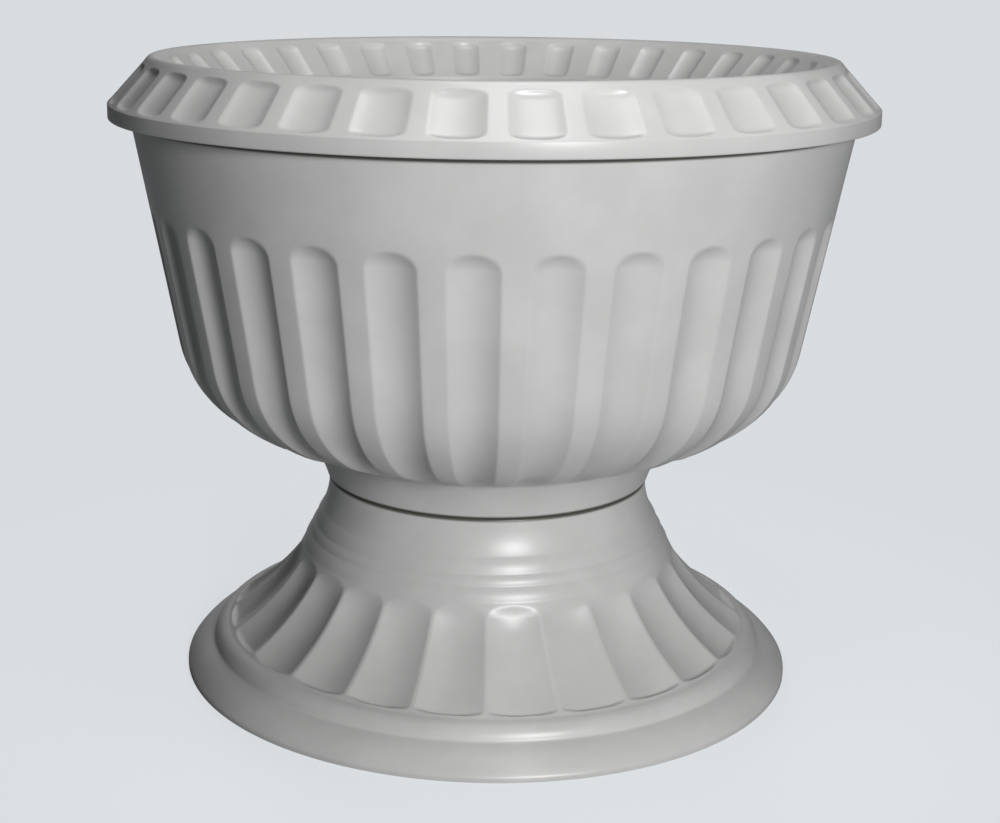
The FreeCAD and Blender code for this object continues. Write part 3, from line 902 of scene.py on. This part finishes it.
@dataclass
class RimRing:
    """Inverted-V crown with panelled slopes, carried on the bowl's edge by ribs.  Sizes in millimetres."""

    wall: float = 2.6
    skirt_radius: float = 210.0
    skirt_foot: float = 315.0
    skirt_head: float = 323.0
    edge_round: float = 1.0
    lip_outer: Point = (189.5, 345.5)
    lip_inner: Point = (182.5, 345.5)
    lip_crown: float = 2.5
    lip_round: float = 0.8
    mouth_radius: float = 160.0
    mouth_head: float = 323.5
    mouth_foot: float = 317.5
    panel_depth: float = 2.2
    panel_margin: float = 1.5
    panel_end: float = 4.2
    panel_near: tuple[float, ...] = (0.5, 1.0, 1.5, 1.9, 2.3, 2.8, 3.4, 4.1, 5.0, 6.5)
    panel_middle: tuple[float, ...] = (0.36, 0.5, 0.64)
    funnel_narrow: float = 0.74
    ribs: Plates = Plates(
        "rim_ring_ribs",
        ((162.2, 317.0), (194.7, 317.0), (194.7, 322.0), (200.1, 322.0), (200.1, 317.0), (207.6, 317.0),
         (207.6, 318.0), (187.5, 341.0), (184.5, 341.0), (162.2, 319.5)), 2.4, 12)
    panels: Hollows = field(default_factory=lambda: Hollows(
        36, -4.3, 0.74, Roundness.TRAY, 0.006,
        (-1.0, -0.88, -0.8, -0.76, -0.72, -0.67, -0.6, -0.56, -0.52, -0.46, -0.36, -0.18, 0.0,
         0.18, 0.36, 0.46, 0.52, 0.56, 0.6, 0.67, 0.72, 0.76, 0.8, 0.88, 1.0)))

    def slope(self, start: Point, end: Point, narrow: float = 1.0) -> list[Station]:
        """Draws one panelled slope.

        Args:
            start: Lower or first end of the slope.
            end: Last end of the slope.
            narrow: Width of its panels as a share of the outer ones' angle.

        Returns:
            Stations, close together where the panels run out.
        """
        total = math.dist(start, end)
        places = spread(total, self.panel_near, self.panel_middle)
        points = walked([start, end], places)
        margin, run = self.panel_margin, self.panel_end
        ends = [run_out(place, margin, total - margin, run, run) for place in places]
        return [Station(point, normal, self.panel_depth, end, narrow)
                for point, normal, end in zip(points, outward(points), ends)]

    def stations(self) -> list[Station]:
        """Walks the crown's closed section: skirt, outer slope, lip, funnel, mouth and underside.

        Returns:
            Stations with the panels pressed into both slopes.
        """
        skirt = [(self.skirt_radius, self.skirt_foot), (self.skirt_radius, self.skirt_head)]
        outer = self.slope(skirt[1], self.lip_outer)
        mouth = [(self.mouth_radius, self.mouth_head), (self.mouth_radius, self.mouth_foot)]
        inner = self.slope(self.lip_inner, mouth[0], self.funnel_narrow)
        lip = [self.lip_outer] + bowed(self.lip_outer, self.lip_inner, self.lip_crown, 10)
        core = self.wall + self.panel_depth
        a, b = inset([skirt[1], self.lip_outer], core)
        c, d = inset([self.lip_inner, mouth[0]], core)
        roof = self.lip_outer[1] - core
        inside = self.skirt_radius - self.wall
        under = [mouth[1], (self.mouth_radius + self.wall, self.mouth_foot),
                 on_line(d[::-1], c[::-1], self.mouth_radius + self.wall)[::-1],
                 on_line(c, d, roof), on_line(a, b, roof), on_line(a[::-1], b[::-1], inside)[::-1],
                 (inside, self.skirt_foot), skirt[0]]
        start = softened([(inside, self.skirt_foot), *skirt, outer[0].point], self.edge_round)[1:-1]
        top = softened([outer[-1].point] + lip + [inner[0].point], self.lip_round)[1:-1]
        end = softened([inner[-1].point, *mouth, under[1]], self.edge_round)[1:-1]
        below = softened([end[-1]] + under[1:-1] + [start[0]], self.lip_round)[1:-1]
        return plain(start) + outer + plain(top) + inner + plain(end + below)

    def build(self, finish: bpy.types.Material) -> None:
        """Models the crown with its ribs and dresses it.

        Args:
            finish: Material of the large mouldings.
        """
        shell = turn_wedge("rim_ring_shell", self.panels, self.stations())
        seat(shell, "rim_ring", finish)
        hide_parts("rim_ring")
        seat(self.ribs.cut(), "rim_ring", finish)


@dataclass
class DrainPlug:
    """Push-in bung.  Its own solid is right as it is and only gets its finish."""

    node: str = "drain_plug"

    def build(self, finish: bpy.types.Material) -> None:
        """Dresses the solid of the frame.

        Args:
            finish: Material of the plug.
        """
        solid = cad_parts[self.node]
        for index in range(len(solid.material_slots)):
            solid.material_slots[index].material = finish
        log.info("%s keeps its solid", self.node)


# ---- studio ---------------------------------------------------------------------------
@dataclass(frozen=True)
class SoftBox:
    """Square lamp that looks at the urn's middle.

    Its azimuth is in degrees from the front towards +X, its elevation in degrees above the urn's middle,
    its distance and side in metres and its power in watts.
    """

    name: str
    azimuth: float
    elevation: float
    distance: float
    side: float
    power: float
    glares: bool = True
    middle_z: float = 0.2

    def hang(self) -> None:
        """Hangs the lamp in the scene."""
        turn, lift = math.radians(self.azimuth), math.radians(self.elevation)
        away = Vector((math.sin(turn) * math.cos(lift), -math.cos(turn) * math.cos(lift), math.sin(lift)))
        data = bpy.data.lights.new(self.name, "AREA")
        data.size = self.side
        data.energy = self.power
        lamp = bpy.data.objects.new(self.name, data)
        lamp.location = Vector((0, 0, self.middle_z)) + away * self.distance
        lamp.rotation_euler = away.to_track_quat("Z", "Y").to_euler()
        lamp.visible_glossy = self.glares
        bpy.context.scene.collection.objects.link(lamp)


@dataclass
class Studio:
    """Pale sweep, soft boxes from the right, above and behind, and the camera of the photograph.

    The camera's height and distance are in metres, its angles in degrees, and its focal length, centre
    and frame in the photograph's pixels.
    """

    backdrop: str = "#d8dcdf"
    room: str = "#dcdcdc"
    room_light: float = 0.02
    paper: str = "#727475"
    floor_side: float = 30.0
    floor_lift: float = 0.9
    fade_from: float = 0.19
    fade_to: float = 0.42
    gloss_share: float = 0.12
    distance: float = 0.979
    height: float = 0.4088
    pitch: float = 12.532
    yaw: float = -1.673
    roll: float = 0.447
    focal_px: float = 1757.5
    centre_px: tuple[float, float] = (438.9, 331.5)
    frame_px: tuple[int, int] = (1000, 823)
    sensor_mm: float = 36.0
    # The back is lit too, without a glare that would graze the lip and the foot.
    lamps: tuple[SoftBox, ...] = (
        SoftBox("key_softbox", 18, 13, 1.4, 0.3, 13.9),
        SoftBox("top_softbox", 15, 76, 1.0, 0.4, 3.4),
        SoftBox("back_softbox", 188, 14, 1.6, 0.6, 17, glares=False))

    def camera(self) -> None:
        """Places the camera, from its height, aim and focal length in the photograph's pixels."""
        yaw, pitch, roll = (math.radians(angle) for angle in (self.yaw, self.pitch, self.roll))
        forward = Vector((math.sin(yaw) * math.cos(pitch), math.cos(yaw) * math.cos(pitch), -math.sin(pitch)))
        right = Vector((math.cos(yaw), -math.sin(yaw), 0))
        up = right.cross(forward)
        turned_right = right * math.cos(roll) + up * math.sin(roll)
        turned_up = up * math.cos(roll) - right * math.sin(roll)
        width, height = self.frame_px
        data = bpy.data.cameras.new("camera")
        data.sensor_width = self.sensor_mm
        data.lens = self.focal_px * self.sensor_mm / width
        data.shift_x = (width / 2 - self.centre_px[0]) / width
        data.shift_y = (self.centre_px[1] - height / 2) / width
        camera = bpy.data.objects.new("camera", data)
        bpy.context.scene.collection.objects.link(camera)
        turn = Matrix((turned_right, turned_up, -forward)).transposed().to_4x4()
        camera.matrix_world = Matrix.Translation((0, -self.distance, self.height)) @ turn
        bpy.context.scene.camera = camera

    def seen(self, tree: bpy.types.NodeTree) -> bpy.types.NodeSocket:
        """Tells the rays that show the backdrop from those that only light the urn.

        Args:
            tree: Node tree of the floor or the world.

        Returns:
            Socket that is 1 for a ray that shows the backdrop straight or through something, a small
            share for one that shows it in a gloss, and 0 for the rest.
        """
        path = add_node(tree, "ShaderNodeLightPath", {}, {})
        gloss = add_node(tree, "ShaderNodeMath", {"operation": "MULTIPLY_ADD", 1: self.gloss_share},
                         {0: path.outputs["Is Glossy Ray"], 2: path.outputs["Is Transmission Ray"]})
        either = add_node(tree, "ShaderNodeMath", {"operation": "MAXIMUM"},
                          {0: path.outputs["Is Camera Ray"], 1: gloss.outputs["Value"]})
        return either.outputs["Value"]

    def floor(self) -> None:
        """Lays the pale floor, which fades into the backdrop's colour away from the urn."""
        deselect()
        bpy.ops.mesh.primitive_plane_add(size=self.floor_side, location=(0, 0, 0))
        floor = bpy.context.object
        floor.name = "floor"
        material = bpy.data.materials.new("studio_floor_matt_paper")
        tree = empty_tree(material)
        place = add_node(tree, "ShaderNodeTexCoord", {}, {}).outputs["Object"]
        distance = add_node(tree, "ShaderNodeVectorMath", {"operation": "LENGTH"}, {0: place})
        fade = add_node(tree, "ShaderNodeMapRange", {"From Min": self.fade_from, "From Max": self.fade_to},
                        {"Value": distance.outputs["Value"]})
        # Near the urn the paper takes shadows and light, and glows a little below the backdrop's colour.
        seen = self.seen(tree)
        amount = add_node(tree, "ShaderNodeMath", {"operation": "MULTIPLY"},
                          {0: fade.outputs["Result"], 1: seen})
        lift = add_node(tree, "ShaderNodeMath", {"operation": "MULTIPLY", 1: self.floor_lift}, {0: seen})
        paper = add_node(tree, "ShaderNodeBsdfDiffuse", {"Color": linear(self.paper)}, {})
        glow = add_node(tree, "ShaderNodeEmission", {"Color": linear(self.backdrop)},
                        {"Strength": lift.outputs["Value"]})
        near = add_node(tree, "ShaderNodeAddShader", {},
                        {0: paper.outputs["BSDF"], 1: glow.outputs["Emission"]})
        far = add_node(tree, "ShaderNodeEmission", {"Color": linear(self.backdrop), "Strength": 1.0}, {})
        mix = add_node(tree, "ShaderNodeMixShader", {},
                       {0: amount.outputs["Value"], 1: near.outputs["Shader"], 2: far.outputs["Emission"]})
        add_node(tree, "ShaderNodeOutputMaterial", {}, {"Surface": mix.outputs["Shader"]})
        floor.data.materials.append(material)

    def world(self) -> None:
        """Gives the room a low even light and the camera the backdrop's colour."""
        world = bpy.data.worlds.new("studio")
        bpy.context.scene.world = world
        tree = empty_tree(world)
        room = add_node(tree, "ShaderNodeBackground",
                        {"Color": linear(self.room), "Strength": self.room_light}, {})
        even = add_node(tree, "ShaderNodeBackground", {"Color": linear(self.backdrop), "Strength": 1.0}, {})
        mix = add_node(tree, "ShaderNodeMixShader", {},
                       {0: self.seen(tree), 1: room.outputs["Background"], 2: even.outputs["Background"]})
        add_node(tree, "ShaderNodeOutputWorld", {}, {"Surface": mix.outputs["Shader"]})

    def build(self) -> None:
        """Sets the whole studio up."""
        bpy.context.scene.view_settings.view_transform = "Standard"
        self.camera()
        self.floor()
        self.world()
        for lamp in self.lamps:
            lamp.hang()
        log.info("studio is set, with %d soft boxes", len(self.lamps))


def main() -> None:
    """Builds the urn piece by piece, then the studio."""
    urn_finish = URN_PLASTIC.material()
    plug_finish = PLUG_PLASTIC.material()
    Bowl().build(urn_finish)
    Pedestal().build(urn_finish)
    RimRing().build(urn_finish)
    DrainPlug().build(plug_finish)
    Studio().build()


if __name__ == "__main__":
    main()
